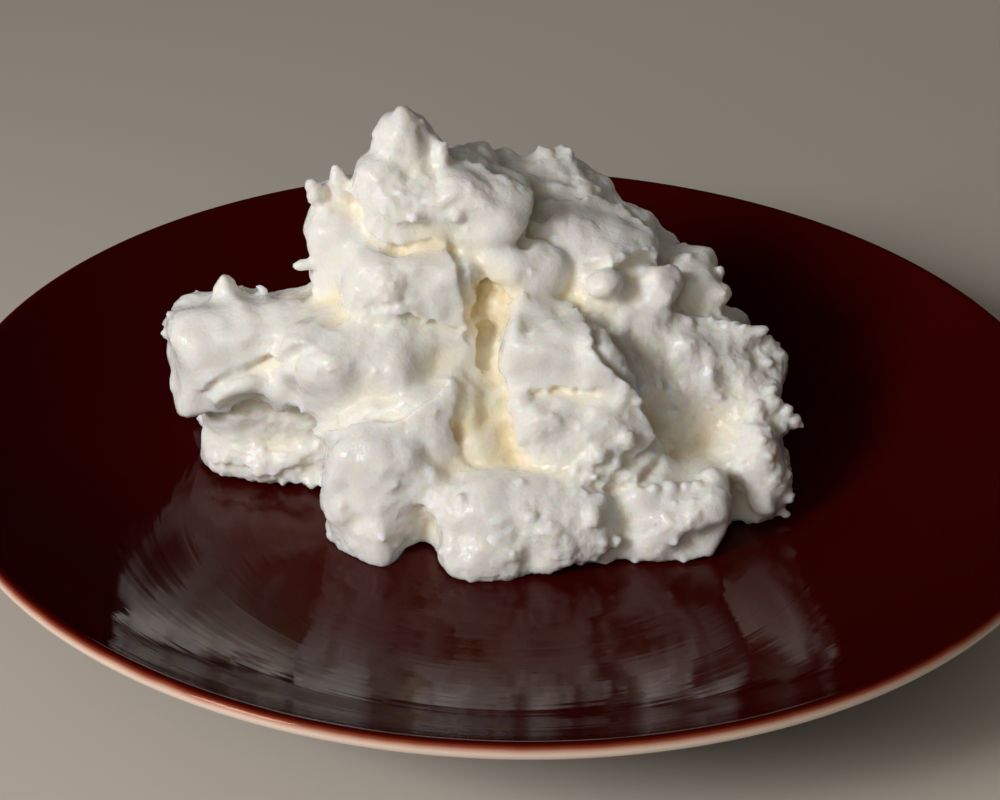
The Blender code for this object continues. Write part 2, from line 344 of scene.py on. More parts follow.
# %% [markdown]
# ## The heap's main forms
#
# The solid already has every spoonful, peak and hollow, but its faces are 2 to 3 mm wide. A voxel
# remesh gives an even, closed mesh of small faces, and a few rounds of smoothing take the corners off.
# What is left is the heap as if cream had been poured over it, which the next steps work up again.
#
# Some chunks are set in first. They square off the crown, the pit and the middle slab, which the
# solid's wide faces blunt, fill the valley and the feet at the front left, and round the underside of
# the left spoonful. Each is a centre and half sizes in millimetres, turns about X, Y and Z in degrees,
# and how boxy it is: 2 is an ellipsoid, and 6 is nearly a box.

# %% Chunks to set in
FORMS = {
    "crown_left": ((-23.2, 10, 65.5), (4.8, 5, 4.2), (0, 0, 0), 3.0),
    "crown_front": ((-17, 7.5, 61), (8.5, 4.5, 6), (0, 0, 0), 3.0),
    "small_tooth": ((-12.8, 10.5, 69.5), (1.5, 1.8, 3.6), (12, 6, 0), 2.2),
    "wedge_sheet": ((-4.5, 9.5, 62), (7.6, 6.5, 2.6), (0, 30, 0), 4.0),
    "pit_chunk": ((-1.5, 7, 52.5), (5.5, 4.5, 3.4), (0, 22, 0), 3.0),
    "pit_right": ((4.5, 8, 49), (5, 4.5, 6), (0, 10, 0), 3.0),
    "slab_plane": ((7.6, -2.2, 40), (9.4, 7.4, 5.6), (14, 16, 0), 6.0),
    "front_left_side": ((-13.8, -11.8, 26), (4.7, 4.3, 9.5), (0, -8, 0), 2.3),
    "valley_floor": ((-8, -7, 27.5), (3, 3.6, 8), (0, 0, 0), 2.2),
    "front_left_heel": ((-10.5, -14, 20), (3.4, 3.4, 3.6), (0, 0, 0), 2.3),
    "front_left_join": ((-14.5, -17, 19.5), (4.2, 3.4, 5.5), (0, 0, 0), 2.4),
    "front_left_foot": ((-24, -18.3, 11.5), (6.5, 4.2, 5.5), (0, 0, -37), 4.0),
    "front_foot": ((-4, -24.2, 11.5), (7.5, 4.6, 4.5), (0, 0, 0), 3.0),
    "left_hang": ((-48, -2.2, 30.5), (5.2, 3.4, 3.9), (0, -10, 0), 2.8),
    "left_hang_right": ((-41.4, -1.8, 29.5), (3.2, 3, 3.8), (0, 0, 0), 2.6),
}
print("chunks:", len(FORMS))

# %% Helpers for meshes
# How far one round of smoothing moves a point towards the middle of its neighbours.
EASE_SHARE = 0.5


def add_remesh(piece, size):
    remesh = piece.modifiers.new("remesh", "REMESH")
    remesh.mode = "VOXEL"
    remesh.voxel_size = size


def add_ease(piece, times):
    """Smooths the mesh, the given number of times."""
    ease = piece.modifiers.new("ease", "SMOOTH")
    ease.factor = EASE_SHARE
    ease.iterations = times


def rows_of(items, name):
    """One row of three numbers for each item, read from the setting of that name."""
    flat = np.empty(len(items) * 3, np.float32)
    items.foreach_get(name, flat)
    return flat.reshape(-1, 3).astype(float)


def points_of(mesh):
    """The vertices' positions, in metres."""
    return rows_of(mesh.vertices, "co")


def normals_of(mesh):
    """The way out of the surface at each vertex."""
    return rows_of(mesh.vertex_normals, "vector")


print("points of the quark's solid:", len(points_of(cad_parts["quark"].data)))

# %% Helpers for lumps
CHUNK_DETAIL = 4


def unit_sphere(detail):
    """A small round mesh of radius 1 as points and triangles."""
    bm = bmesh.new()
    bmesh.ops.create_icosphere(bm, subdivisions=detail, radius=1.0)
    points = np.array([vert.co for vert in bm.verts])
    faces = np.array([[vert.index for vert in face.verts] for face in bm.faces])
    bm.free()
    return points, faces


def chunk(centre, half, turn, boxy):
    """A sphere drawn out to a rounded box and turned about X, Y and Z, as points in mm and triangles."""
    points, faces = unit_sphere(CHUNK_DETAIL)
    points = points / (np.abs(points) ** boxy).sum(1, keepdims=True) ** (1 / boxy) * np.array(half)
    tip = np.array(Euler([math.radians(angle) for angle in turn]).to_matrix())
    return points @ tip.T + np.array(centre), faces


def joined(name, lumps):
    """One mesh of many lumps, each given as points in mm and triangles."""
    starts = np.cumsum([0] + [len(points) for points, _ in lumps])
    points = np.concatenate([points for points, _ in lumps]) * MM
    faces = np.concatenate([faces + start for (_, faces), start in zip(lumps, starts)])
    mesh = bpy.data.meshes.new(name)
    mesh.from_pydata(points.tolist(), [], faces.tolist())
    return mesh


def mesh_of_lumps(name, shapes, detail):
    """Each shape is a centre in mm and a 3x3 matrix that forms the sphere."""
    points, faces = unit_sphere(detail)
    lumps = [(points @ np.array(shape).T + np.array(centre), faces) for centre, shape in shapes]
    return joined(name, lumps)


def join_mesh(piece, mesh):
    """Adds a mesh's faces to a piece."""
    bm = bmesh.new()
    bm.from_mesh(piece.data)
    bm.from_mesh(mesh)
    bm.to_mesh(piece.data)
    bm.free()
    bpy.data.meshes.remove(mesh)


print("faces of a chunk:", len(unit_sphere(CHUNK_DETAIL)[1]))

# %% Smooth base
BASE_VOXEL = 0.6 * MM
BASE_EASE = 5

quark = new_piece("fresh_quark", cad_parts["quark"].data.copy())
join_mesh(quark, joined("forms", [chunk(*form) for form in FORMS.values()]))
add_remesh(quark, BASE_VOXEL)
add_ease(quark, BASE_EASE)
apply_modifiers(quark)
print("base vertices:", len(quark.data.vertices))

# %% [markdown]
# ## Folds, edges and creases
#
# What makes a spooned heap readable is where one spoonful ends and the next begins: a sheet's edge
# that stands over its neighbour, a crease below a bulge, a ridge that the spoon pulled up. Each stroke
# is a line across the surface in millimetres, with its width and the height it gives to its left and
# its right side, as seen from outside. Equal heights make a ridge or a groove, and unequal ones make
# an edge that stands over what lies beside it. Pulls come first and move a whole area a little: each
# is a centre, a reach and a move, also in millimetres.

# %% Pulls
PULLS = {
    "left_rim": ((-57, 13, 42), 9, (0, 0, -2.4)),
    "left_rim_right": ((-43, 16, 44), 10.5, (0, 0, -2.8)),
    "left_peak_left": ((-54, 10, 46.5), 3.2, (0, 0, -1.2)),
    "left_peak_right": ((-48.3, 9, 46.5), 3.2, (0, 0, -1.2)),
    "left_corner": ((-59, 0, 27), 7, (-0.5, -0.5, -2.6)),
    "left_underside": ((-46, -4, 25.5), 7, (0, 4.2, 1.6)),
    "shelf_left": ((-36, 8, 56), 8, (-1.4, 0, 0)),
    "tooth": ((-19.5, 13, 77), 9, (0, 0, -0.9)),
    "block_left": ((-22, -3, 49), 6.5, (0, -1.2, 0)),
    "block_right": ((-9.5, -2, 48), 6, (0.9, 1.3, 0)),
    "bulge_right": ((-21, -9, 38), 6, (0, -1.0, 0)),
    "column_right": ((-11, -4, 38), 5.5, (0, 1.6, 0)),
    "pit_wall": ((1, 6, 48), 9, (-1.0, -3.0, 1.0)),
    "pit_floor": ((-3, 6, 44), 6.5, (0, -4.0, 0.5)),
    "channel": ((-5, -8, 29), 9, (0, -2.5, 2.0)),
    "wedge_corner": ((0, 9, 64), 6, (1.2, 0, 1.6)),
    "slab_corner": ((2, -6, 45), 6, (-1.2, 1, -1.5)),
    "ramp": ((33.5, -8, 25), 11, (0, 6.5, -1.5)),
    "right_edge": ((46, -4, 20), 8, (1.0, 0, 0)),
    "low_right_corner": ((40, -18, 9), 6, (-1.8, 1.0, 0)),
}
print("pulls:", len(PULLS))

# %% Strokes
STROKES = {
    "right_face_dent": (4.0, -0.7, -0.7, ((37, 2, 36), (40, 0, 32))),
    "crown_notch": (2.5, -1.6, -1.6, ((-33, 10, 63), (-30, 9, 61), (-27, 7, 61))),
    "crown_under": (3.5, 1.0, -1.2, ((-28, 8, 62), (-26, 6, 59), (-24, 5, 57), (-20, 4, 56))),
    "crown_under_right": (3.0, 0.5, -0.5, ((-20, 4, 56), (-14, 3, 57), (-8, 5, 55))),
    "crown_ledge": (3.0, 0.4, -0.3, ((-19, 3, 65), (-14, 3, 63), (-10, 3, 65))),
    "crown_hollow": (4.0, -0.8, -0.8, ((-16, 3, 60), (-12, 3, 59))),
    "tooth_ridge": (3.0, 0.5, 0.5, ((-20, 12, 78), (-20, 9, 76), (-21, 8, 72))),
    "tooth_right": (2.0, -0.7, -0.7, ((-16, 10, 74), (-15, 10, 71))),
    "pit_hole": (2.2, -2.6, -2.6, ((-5, 4, 40), (-5, 1, 37.5), (-5.2, 0, 35.5))),
    "pit_ledge": (2.5, 0.9, -1.2, ((-8, 2, 51), (-4, 3, 49), (-1, 2, 48))),
    "wedge_edge": (
        3.0, 0.9, -0.9,
        ((2, 9, 62), (0, 13, 63), (-3, 11, 65), (-6, 14, 67), (-11, 13, 68)),
    ),
    "shelf_edge": (3.0, 1.0, -1.2, ((-8, -1, 42), (-8, -1, 47), (-9, -2, 52), (-11, 3, 55))),
    "shelf_under": (2.8, 0.9, -1.5, ((-18, -3, 46.5), (-15, -3, 45), (-11, -3, 43.5), (-8, -1, 42))),
    "shelf_dimple": (2.5, -0.7, -0.7, ((-15, -3, 53), (-14, -3, 53))),
    "cream_pocket": (2.0, -1.0, -1.0, ((-32, -2, 44), (-29, 0, 44))),
    "bulge_top": (5.0, 0.4, -0.3, ((-19, -3, 49), (-26, -3, 46), (-30, -4, 43))),
    "left_face_edge": (
        3.0, 1.1, -1.5,
        ((-52.5, -3, 31.5), (-48, -3, 34), (-44, -2, 36), (-39, -6, 40), (-36, -7, 42)),
    ),
    "left_valley": (3.0, -1.6, -1.6, ((-39, -7, 40), (-38, -8, 36), (-38, -6, 31))),
    "left_peak_ridge": (3.0, 0.7, 0.7, ((-52, 9, 46), (-49, 6, 44), (-46, 2, 43))),
    "left_scoop": (4.0, -0.9, -0.9, ((-46, 8, 44), (-43, 1, 43))),
    "front_left_top": (
        3.0, 0.9, -1.2,
        ((-11, -10, 37), (-14, -13, 35), (-18, -14, 32), (-28, -13, 29), (-34, -9, 26)),
    ),
    "front_left_side": (3.5, 0.4, -0.6, ((-7, -15, 23), (-9, -13, 25), (-10, -14, 31), (-9, -10, 36))),
    "front_left_dents": (2.5, -0.9, -0.9, ((-28, -20, 21), (-26, -22, 16))),
    "notch": (2.5, -1.8, -1.8, ((-15, -20, 17), (-16, -20, 13), (-17, -20, 9))),
    "front_dent_1": (3.0, -0.9, -0.9, ((-8, -27, 16), (-8, -27, 13))),
    "front_dent_2": (3.0, -0.8, -0.8, ((4, -25, 21), (8, -25, 20))),
    "slab_top": (2.5, 0.5, -0.8, ((11, 1, 45), (7, -3, 46), (3, -6, 46))),
    "slab_edge": (
        4.0, 1.3, -1.2,
        ((23, -12, 27), (24, -11, 30), (22, -10, 35), (19, -11, 39), (15, -11, 43), (11, 1, 45)),
    ),
    "slab_step": (4.0, 0.8, -1.2, ((1, -10, 34), (4, -9, 35), (8, -9, 36), (13, -10, 36))),
    "step_hollow": (3.0, -1.2, -1.2, ((6, -13, 35), (9, -14, 34), (12, -14, 34))),
    "step_crease": (2.0, -0.8, -0.8, ((-1, -9, 28), (0, -12, 27))),
    "slab_low_edge": (3.0, 0.8, -1.5, ((14, -19, 23), (18, -17, 21), (22, -16, 22), (25, -13, 24))),
    "slab_valley": (3.5, -1.8, -1.8, ((17, 0, 44), (19, -4, 41), (24, -7, 35), (28, -7, 29), (32, -8, 26))),
    "low_right_ridge": (4.0, 1.0, 1.0, ((25, -21, 10), (29, -22, 16), (33, -20, 19), (39, -12, 18))),
    "low_right_dent_1": (3.0, -1.2, -1.2, ((26, -21, 20), (29, -21, 19))),
    "low_right_dent_2": (4.0, -1.4, -1.4, ((32, -22, 12), (36, -20, 14))),
    "upper_sheet": (3.0, 0.8, -0.9, ((25, 18, 53), (19, 24, 55), (15, 22, 58), (12, 20, 58), (7, 19, 58))),
    "upper_ridge": (2.0, 0.5, 0.5, ((4, 30, 64), (7, 28, 62), (11, 30, 61), (13, 22, 59))),
    "upper_crease": (2.5, -0.9, -0.9, ((10, 24, 60), (5, 24, 61), (2, 24, 62))),
    "wedge_gap": (3.0, -1.5, -1.5, ((5, 16, 58), (3, 9, 59), (2, 7, 56))),
    "cream_line": (1.2, -0.5, -0.5, ((5, 10, 53), (7, 9, 54), (10, 9, 54))),
    "upper_low_edge": (3.0, 0.6, -1.2, ((15, 7, 52), (19, 7, 51), (22, 11, 52), (25, 13, 51))),
    "nub_under": (2.0, -1.0, -1.0, ((14, 3, 46), (18, 3, 45), (22, 5, 47))),
    "second_nub": (3.0, 0.8, 0.8, ((24, 9, 50), (26, 6, 48), (27, 5, 46))),
    "right_slab_top": (3.0, 0.7, -0.8, ((44, 8, 39), (40, 8, 40), (36, 9, 40), (33, 9, 41), (28, 6, 43))),
    "foot_crevice": (
        1.6, 0.5, -0.7,
        ((-53, 3, 12), (-48, 0, 12.5), (-44, 0, 11.5), (-38, 0, 13), (-34, 0, 12)),
    ),
    "foot_top": (2.0, 0.5, -0.3, ((-35, 1, 17), (-40, 1, 16), (-44, 1, 17), (-50, 2, 16))),
}
print("strokes:", len(STROKES))

# %% Work them in
STEP_MM = 0.7
RIDGE_SHARPNESS = 1.5


def distances(points_mm, places):
    """From each point to each place."""
    return np.linalg.norm(points_mm[:, None] - places[None], axis=2)


def laid_on(points_mm, path):
    """A path filled up with steps of STEP_MM, each moved to the nearest point of the surface."""
    places = []
    for start, end in zip(np.array(path[:-1], float), np.array(path[1:], float)):
        steps = max(1, round(np.linalg.norm(end - start) / STEP_MM))
        places += [start + (end - start) * step / steps for step in range(steps)]
    places = np.array(places + [path[-1]], float)
    return points_mm[[distances(points_mm, place[None]).argmin() for place in places]]


def stroke_heights(points_mm, normals, width, left, right, path):
    """The points that a stroke reaches, and how far each one moves out in mm."""
    places = laid_on(points_mm, path)
    inside = ((points_mm > places.min(0) - width) & (points_mm < places.max(0) + width)).all(1)
    index = np.flatnonzero(inside)
    away = distances(points_mm[index], places)
    nearest = away.argmin(1)
    share = np.clip(1 - away.min(1) / width, 0, 1)
    along = np.gradient(places, axis=0)[nearest]
    side = ((points_mm[index] - places[nearest]) * np.cross(normals[index], along)).sum(1)
    height = np.where(side > 0, left, right)
    rounded = share**2 * (3 - 2 * share)
    return index, height * np.where(height > 0, share**RIDGE_SHARPNESS, rounded)


def worked_up(points_mm, normals):
    """The points after all pulls and strokes."""
    points_mm = points_mm.copy()
    for centre, reach, move in PULLS.values():
        away = np.linalg.norm(points_mm - np.array(centre), axis=1) / reach
        points_mm += np.outer(np.clip(1 - away**2, 0, 1) ** 2, move)
    moves = np.zeros(len(points_mm))
    for width, left, right, path in STROKES.values():
        index, heights = stroke_heights(points_mm, normals, width, left, right, path)
        moves[index] += heights
    return points_mm + normals * moves[:, None]


def set_points(mesh, points_mm):
    mesh.vertices.foreach_set("co", (points_mm * MM).astype(np.float32).ravel())
    mesh.update()


smooth_points = points_of(quark.data) / MM
set_points(quark.data, worked_up(smooth_points, normals_of(quark.data)))
moved = np.linalg.norm(points_of(quark.data) / MM - smooth_points, axis=1)
print("farthest move, mm:", round(float(moved.max()), 1))

# %% [markdown]
# ## Where the curd is torn, and where a spoon made it smooth
#
# A spoon leaves two kinds of surface. Its back smears the curd to a smooth, faintly streaked face.
# Where a spoonful breaks away from the tub, the curd tears and stands up in crumbs. Each smeared
# face below is a place, how far it reaches and the way the spoon was drawn. The torn areas, such as
# the slab at the right and the crumbly foot at the left, have no such way. Everywhere else the curd
# is half torn, in soft patches.

# %% Smeared areas
SMEARED = {
    "left_spoonful": ((-47, -3, 36), 13, (1.0, 0.0, 0.25)),
    "left_bulge": ((-32, -10, 32), 8, (1.0, 0.0, -0.3)),
    "column": ((-14, -7, 37), 9, (0.1, 0.0, 1.0)),
    "shelf": ((-29, 5, 52), 10, (0.2, 0.0, 1.0)),
    "crown_wedge": ((-1, 6, 58), 8, (1.0, 0.0, -0.6)),
    "upper_right": ((9, 7, 47), 9, (0.1, 0.2, 1.0)),
    "middle_slab": ((6, -9, 41), 10, (0.4, -0.3, 1.0)),
    "channel": ((-4, -6, 26), 8, (0.0, -0.5, 1.0)),
    "recess": ((27, -14, 25), 9, (1.0, 0.0, -0.3)),
    "front_right": ((38, -18, 15), 8, (0.5, 0.0, -1.0)),
    "front_left": ((-25, -18, 25), 7, (0.6, -0.2, 1.0)),
    "right_slope": ((34, -8, 28), 8, (0.5, 0.0, -1.0)),
    "back_left": ((-30, 48, 24), 12, (1.0, 0.0, 0.2)),
    "back_shoulder": ((20, 43, 42), 11, (0.3, 0.0, 1.0)),
}
print("smeared areas:", len(SMEARED))

# %% Torn areas
TORN = {
    "right_slab": ((38, 0, 36), 17),
    "right_edge": ((48, -2, 20), 12),
    "crumbly_foot": ((-42, 3, 14), 16),
    "front_middle": ((2, -26, 12), 11),
    "slab_front": ((14, -15, 27), 9),
    "crown": ((-20, 6, 63), 9),
    "front_right_edge": ((30, -20, 21), 6),
}
# The size of a patch in mm, how torn the patches are, and what an area adds to that or takes away.
PATCH_SIZE = 12.0
PATCH_LEVEL = 0.5
PATCH_SWING = 0.7
PATCH_SHIFT = 3.7
TORN_GAIN = 1.1
SMEARED_LOSS = 1.3


def reach_share(points_mm, centre, reach):
    """1 at the centre of an area, falling smoothly to 0 at its reach."""
    away = np.linalg.norm(points_mm - np.array(centre), axis=1) / reach
    return np.clip(1.0 - away**2, 0.0, 1.0)


def sample(points_mm, size, shift):
    """Soft noise of features about `size` mm wide, from -1 to 1."""
    return np.array([noise.noise(Vector(p)) for p in points_mm / size + shift])


def billow(points_mm, size, octaves, shift):
    """Rounded lumps of about `size` mm with creases between them, from 0 to about 1."""
    return np.array([noise.turbulence(Vector(p), octaves, True) for p in points_mm / size + shift])


def torn_share(points_mm):
    """0 where the curd is smeared smooth, 1 where it is torn."""
    share = PATCH_LEVEL + PATCH_SWING * sample(points_mm, PATCH_SIZE, PATCH_SHIFT)
    for centre, reach in TORN.values():
        share += TORN_GAIN * reach_share(points_mm, centre, reach)
    for centre, reach, _ in SMEARED.values():
        share -= SMEARED_LOSS * reach_share(points_mm, centre, reach)
    return np.clip(share, 0.0, 1.0)


base_points = points_of(quark.data) / MM
base_normals = normals_of(quark.data)
base_torn = torn_share(base_points)
print("torn share of the surface:", round(float(base_torn.mean()), 2))

# %% [markdown]
# ## Crumbs of curd
#
# Torn quark shows soft grains one to two millimetres across, and they gather on edges, where the mass
# broke. To find the edges, the surface is set against a much smoother copy of itself: where it stands
# proud, it is an edge. Grains are dropped there and in the torn areas, each a small rounded lump sunk
# in part, and fused with the rest by the next remesh. Larger nubs and pulled teeth stand at places of
# their own. All of them are one mesh, made by moving the points of a single small sphere with numpy,
# because adding spheres one by one to a growing mesh takes minutes.

# %% Nubs and teeth
# A nub is a centre and half its width. A tooth is its tip, its root and half its width. All in mm.
NUBS = (
    ((15.8, 4.2, 49.2), 3.1), ((-8, 4.9, 66), 1.4), ((-6, 5, 61), 1.4), ((-10, 4, 62), 1.4),
    ((-8, 4.5, 59), 1.2), ((-4.5, 5.5, 59), 1.1), ((1.5, -10, 33), 2.6), ((15, -16.5, 27), 2.0),
    ((20, -15, 29), 2.0), ((22, -12.5, 27), 1.8), ((18, -16, 25), 1.6), ((22.4, -18, 20.4), 1.2),
    ((24.9, -17.6, 20.8), 1.2), ((27.6, -16.7, 20.8), 1.4), ((30.2, -16, 20.6), 1.1),
    ((32.4, -15.4, 20.6), 1.2), ((35.5, -13, 19.8), 2.6), ((14, -23.5, 19), 1.9),
    ((16, -23.5, 13), 1.6), ((12.5, -24, 10.5), 1.3), ((18.5, -23, 13.5), 1.2), ((46, -0.5, 28.5), 2.0),
    ((48.5, 0, 27), 1.8), ((50.5, 0, 25), 1.2), ((43.5, -2, 28), 1.8), ((48, -2, 24.5), 1.2),
    ((47.5, -8, 16.5), 1.4), ((49.5, -7, 13.5), 1.3), ((49.5, -7, 9.5), 1.0), ((-41, 1.4, 9.4), 1.1),
    ((-38.6, 1, 9.6), 1.3), ((-35.8, 0.8, 9.6), 1.5), ((-33.4, 0, 10), 1.2),
)
TEETH = (
    ((-38.4, 7, 50), (-34, 8, 50), 1.1),
    ((-31.2, 11, 67.4), (-29.6, 11, 61), 1.7),
    ((-35.2, 10, 65), (-34, 11, 60), 1.8),
    ((-51, 9, 46.6), (-51, 9.5, 42), 1.3),
    ((-46, 12, 43.6), (-43.6, 12, 42.2), 0.7),
    ((37.4, 17, 46.5), (36, 17, 43), 1.3),
    ((45.6, 8, 39), (42, 8, 38), 1.2),
    ((46.6, 6, 33.5), (44, 6, 33), 1.2),
    ((47.4, 2, 30.5), (45, 2, 29.5), 1.1),
    ((52, 0, 23.8), (49, 0, 25), 0.9),
    ((47.6, -6, 21), (45, -6, 20.5), 1.2),
    ((-61.5, 8, 39.5), (-59, 8, 39), 1.0),
    ((-62.4, 7, 36), (-60, 7, 36), 1.0),
)
print("nubs:", len(NUBS), "teeth:", len(TEETH))

# %% Shapes of crumbs
GRAIN_COUNT = 700
# Half the width of a grain in mm, how uneven it is, and how far out its centre lies, as a share.
GRAIN_SIZES = (0.5, 1.1)
GRAIN_STRETCH = (0.8, 1.2)
GRAIN_SINK = (-0.75, -0.1)
GRAIN_DETAIL = 2
NUB_DETAIL = 3
# Half a tooth's length as a share of the way from its root to its tip.
TOOTH_REACH = 0.6
SEED = 5
chance = random.Random(SEED)


def grain_shape(size, out):
    """A small lump, a bit longer or flatter along its way out of the surface."""
    scales = [size * chance.uniform(*GRAIN_STRETCH) for _ in range(3)]
    turn = Matrix.Rotation(chance.uniform(0, 2 * math.pi), 3, "Z")
    return out.to_track_quat("Z", "Y").to_matrix() @ turn @ Matrix.Diagonal(scales)


def scatter_grains(points_mm, normals, weights):
    """Grains dropped on the points, more where the weight is high."""
    shapes = []
    for index in chance.choices(range(len(points_mm)), weights=weights, k=GRAIN_COUNT):
        out = Vector(normals[index])
        size = GRAIN_SIZES[0] + (GRAIN_SIZES[1] - GRAIN_SIZES[0]) * chance.random() ** 2
        spot = Vector(points_mm[index]) + out * size * chance.uniform(*GRAIN_SINK)
        shapes.append((spot, grain_shape(size, out)))
    return mesh_of_lumps("grains", shapes, GRAIN_DETAIL)


def nub_shapes():
    """The larger nubs, each a little uneven, and the teeth, each drawn out from root to tip."""
    shapes = []
    for centre, size in NUBS:
        out = Vector([chance.gauss(0, 1) for _ in range(3)])
        shapes.append((centre, grain_shape(size, out)))
    for tip, root, width in TEETH:
        tip, root = Vector(tip), Vector(root)
        turn = (tip - root).to_track_quat("Z", "Y").to_matrix()
        half = (width, width, (tip - root).length * TOOTH_REACH)
        shapes.append(((tip + root) / 2, turn @ Matrix.Diagonal(half)))
    return shapes


print("largest grain across, mm:", round(2 * GRAIN_SIZES[1] * GRAIN_STRETCH[1], 1))

# %% Drop the crumbs
EDGE_EASE = 14
EDGE_HEIGHT_MM = 0.35
FLAT_WEIGHT = 0.15


def rise_over_smoothed(piece, times):
    """How many mm each point stands above a smoother copy of the surface."""
    copy = new_piece("smoother", piece.data.copy())
    add_ease(copy, times)
    apply_modifiers(copy)
    rise = ((points_of(piece.data) - points_of(copy.data)) * normals_of(piece.data)).sum(axis=1)
    bpy.data.meshes.remove(copy.data)
    return rise / MM


edges = np.clip(rise_over_smoothed(quark, EDGE_EASE) / EDGE_HEIGHT_MM, 0.0, 1.0)
grain_weights = base_torn * (FLAT_WEIGHT + edges)
join_mesh(quark, scatter_grains(base_points, base_normals, grain_weights.tolist()))
join_mesh(quark, mesh_of_lumps("nubs", nub_shapes(), NUB_DETAIL))
print("edge share:", round(float(edges.mean()), 2), "grains:", GRAIN_COUNT)

# %% [markdown]
# ## One fused skin
#
# A second, finer remesh melts the grains into the heap, and a little smoothing rounds them, as the
# moist curd does. Then each point moves along its normal. On torn areas, rounded lumps with creases
# between them build up the curd at three sizes. On smeared areas, noise that is stretched along the
# spoon's path makes fine streaks.

# %% Relief of the skin
# The width of the lumps, and their height where the curd is torn and where it is smeared, in mm.
LUMPS = ((7.0, 0.7, 0.3), (3.0, 0.55, 0.1), (1.4, 0.28, 0.04))
LUMP_OCTAVES = 2
# Taken off that noise, so that the lumps go in as well as out and the heap keeps its size.
LUMP_LEVEL = 0.45
STREAK_WIDTH = 1.3
STREAK_LENGTH = 14.0
STREAK_HEIGHT = 0.16
STREAK_SHIFT = 9.1


def streaks(points_mm, way):
    """Noise that runs in lines along a way."""
    way = np.array(way) / np.linalg.norm(way)
    along = points_mm @ way
    squeezed = points_mm + np.outer(along * (STREAK_WIDTH / STREAK_LENGTH - 1.0), way)
    return sample(squeezed, STREAK_WIDTH, STREAK_SHIFT)


def skin_height(points_mm, torn):
    """How far each point moves out, in millimetres."""
    height = np.zeros(len(points_mm))
    for size, torn_height, smooth_height in LUMPS:
        strength = smooth_height + (torn_height - smooth_height) * torn
        height += strength * (billow(points_mm, size, LUMP_OCTAVES, size) - LUMP_LEVEL)
    for centre, reach, way in SMEARED.values():
        share = reach_share(points_mm, centre, reach)
        near = share > 0
        height[near] += STREAK_HEIGHT * np.sqrt(share[near]) * streaks(points_mm[near], way)
    return height


print("lump widths, mm:", [size for size, _, _ in LUMPS])

# %% Fuse and roughen
SKIN_VOXEL = 0.42 * MM
SKIN_EASE = 2
TRIANGLES = 190000
REST_GAP = 0.05 * MM


def lift_to_well(points):
    """Keeps every point just above the plate's surface."""
    floor = well_height(np.hypot(points[:, 0], points[:, 1]))
    points[:, 2] = np.maximum(points[:, 2], floor + REST_GAP)
    return points


add_remesh(quark, SKIN_VOXEL)
add_ease(quark, SKIN_EASE)
apply_modifiers(quark)
skin_points = points_of(quark.data)
skin_torn = torn_share(skin_points / MM)
lift = skin_height(skin_points / MM, skin_torn)
skin_points += normals_of(quark.data) * (lift * MM)[:, None]
set_points(quark.data, lift_to_well(skin_points) / MM)
thin = quark.modifiers.new("thin", "DECIMATE")
thin.ratio = min(1.0, TRIANGLES / (2 * len(quark.data.polygons)))
apply_modifiers(quark)
quark.data.shade_smooth()
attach(quark, "root")
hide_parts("quark")
print("skin vertices:", len(skin_points), "kept faces:", len(quark.data.polygons))

# %% [markdown]
# ## Painted glow in the hollows
#
# Light that gets into a hollow of the curd bounces from wall to wall, so hollows look cream to
# yellow beside the white ridges. That bounce light and the shade of the hollows are painted into the
# colour here, as a cream tint. The same comparison with a smoother copy finds the hollows, at three
# scales. Where the heap is deepest, as in the pit and the channel below it, a pool of painted glow adds
# to that: a centre, a reach and a share. The result is kept on the points as a named attribute, which
# the material reads next.

# %% Hollows
# How many times the copy is smoothed, the depth in mm that counts in full, and the share of painted glow it
# gives.
PAINTED_GLOW_EASES = ((500, 4.0, 0.8), (90, 1.8, 0.4), (20, 0.7, 0.2))
# Pools of painted glow where the heap is deepest: a centre, a reach in mm and a share.
PAINTED_GLOW_POOLS = {
    "pit": ((-4, 4, 46), 8.5, 0.6),
    "channel": ((-4, -8, 27), 9, 0.45),
    "valley": ((-9, -9, 31), 6, 0.5),
    "pocket": ((-31, -1, 44), 3, 0.2),
    "crown_line": ((-15, 4, 56), 5, 0.3),
}


def hollow_share(piece, times, depth_mm):
    """How far each point lies below a smoother copy of the surface, 1 at the given depth."""
    return np.clip(-rise_over_smoothed(piece, times) / depth_mm, 0.0, 1.0)


# Painted bounce light and shade: how hollow each point is, as a share of the cream tint.
painted_glow = np.maximum.reduce(
    [most * hollow_share(quark, times, depth) for times, depth, most in PAINTED_GLOW_EASES]
)
kept_points = points_of(quark.data) / MM
for centre, reach, share in PAINTED_GLOW_POOLS.values():
    painted_glow += share * reach_share(kept_points, centre, reach)
# The painted glow is kept on the points for the material to read.
quark.data.attributes.new("painted_glow", "FLOAT", "POINT").data.foreach_set("value", painted_glow.astype(np.float32))
print("hollow share of the surface:", round(float(painted_glow.mean()), 2))

# %% [markdown]
# ## Fresh quark
#
# Quark is milk protein that holds water and a little fat. Light goes in and comes out a few
# millimetres away, reddish light farther than blue, so shadows are soft and crevices glow cream. The
# Principled shader's subsurface setting does that, with radii in real millimetres. Its skin is wet:
# a low roughness and an IOR near water's 1.33 give the small sharp glints, and noise in the roughness
# keeps them broken up. A fine bump stands for the curd's own grain.

# %% What quark is like
QUARK_WHITE = "#f9f7f3"
# The cream of the hollows is painted bounce light and shade, laid on by the painted glow attribute.
PAINTED_GLOW_CREAM = "#f1deac"
# How far red, green and blue light travel inside.
SCATTER_MM = (1.6, 1.15, 0.75)
QUARK_IOR = 1.38
# Wet patches, and the roughness from the wettest to the driest.
DAMP_PATCH = 5 * MM
DAMP_SPREAD = (0.35, 0.65)
GLOSS = (0.12, 0.42)
# Real curd is finer still. This is the finest grain that shows from the camera.
FINE_GRAIN = 0.7 * MM
FINE_DEPTH = 0.14 * MM
print("scatter radii, mm:", SCATTER_MM)

# %% Quark material


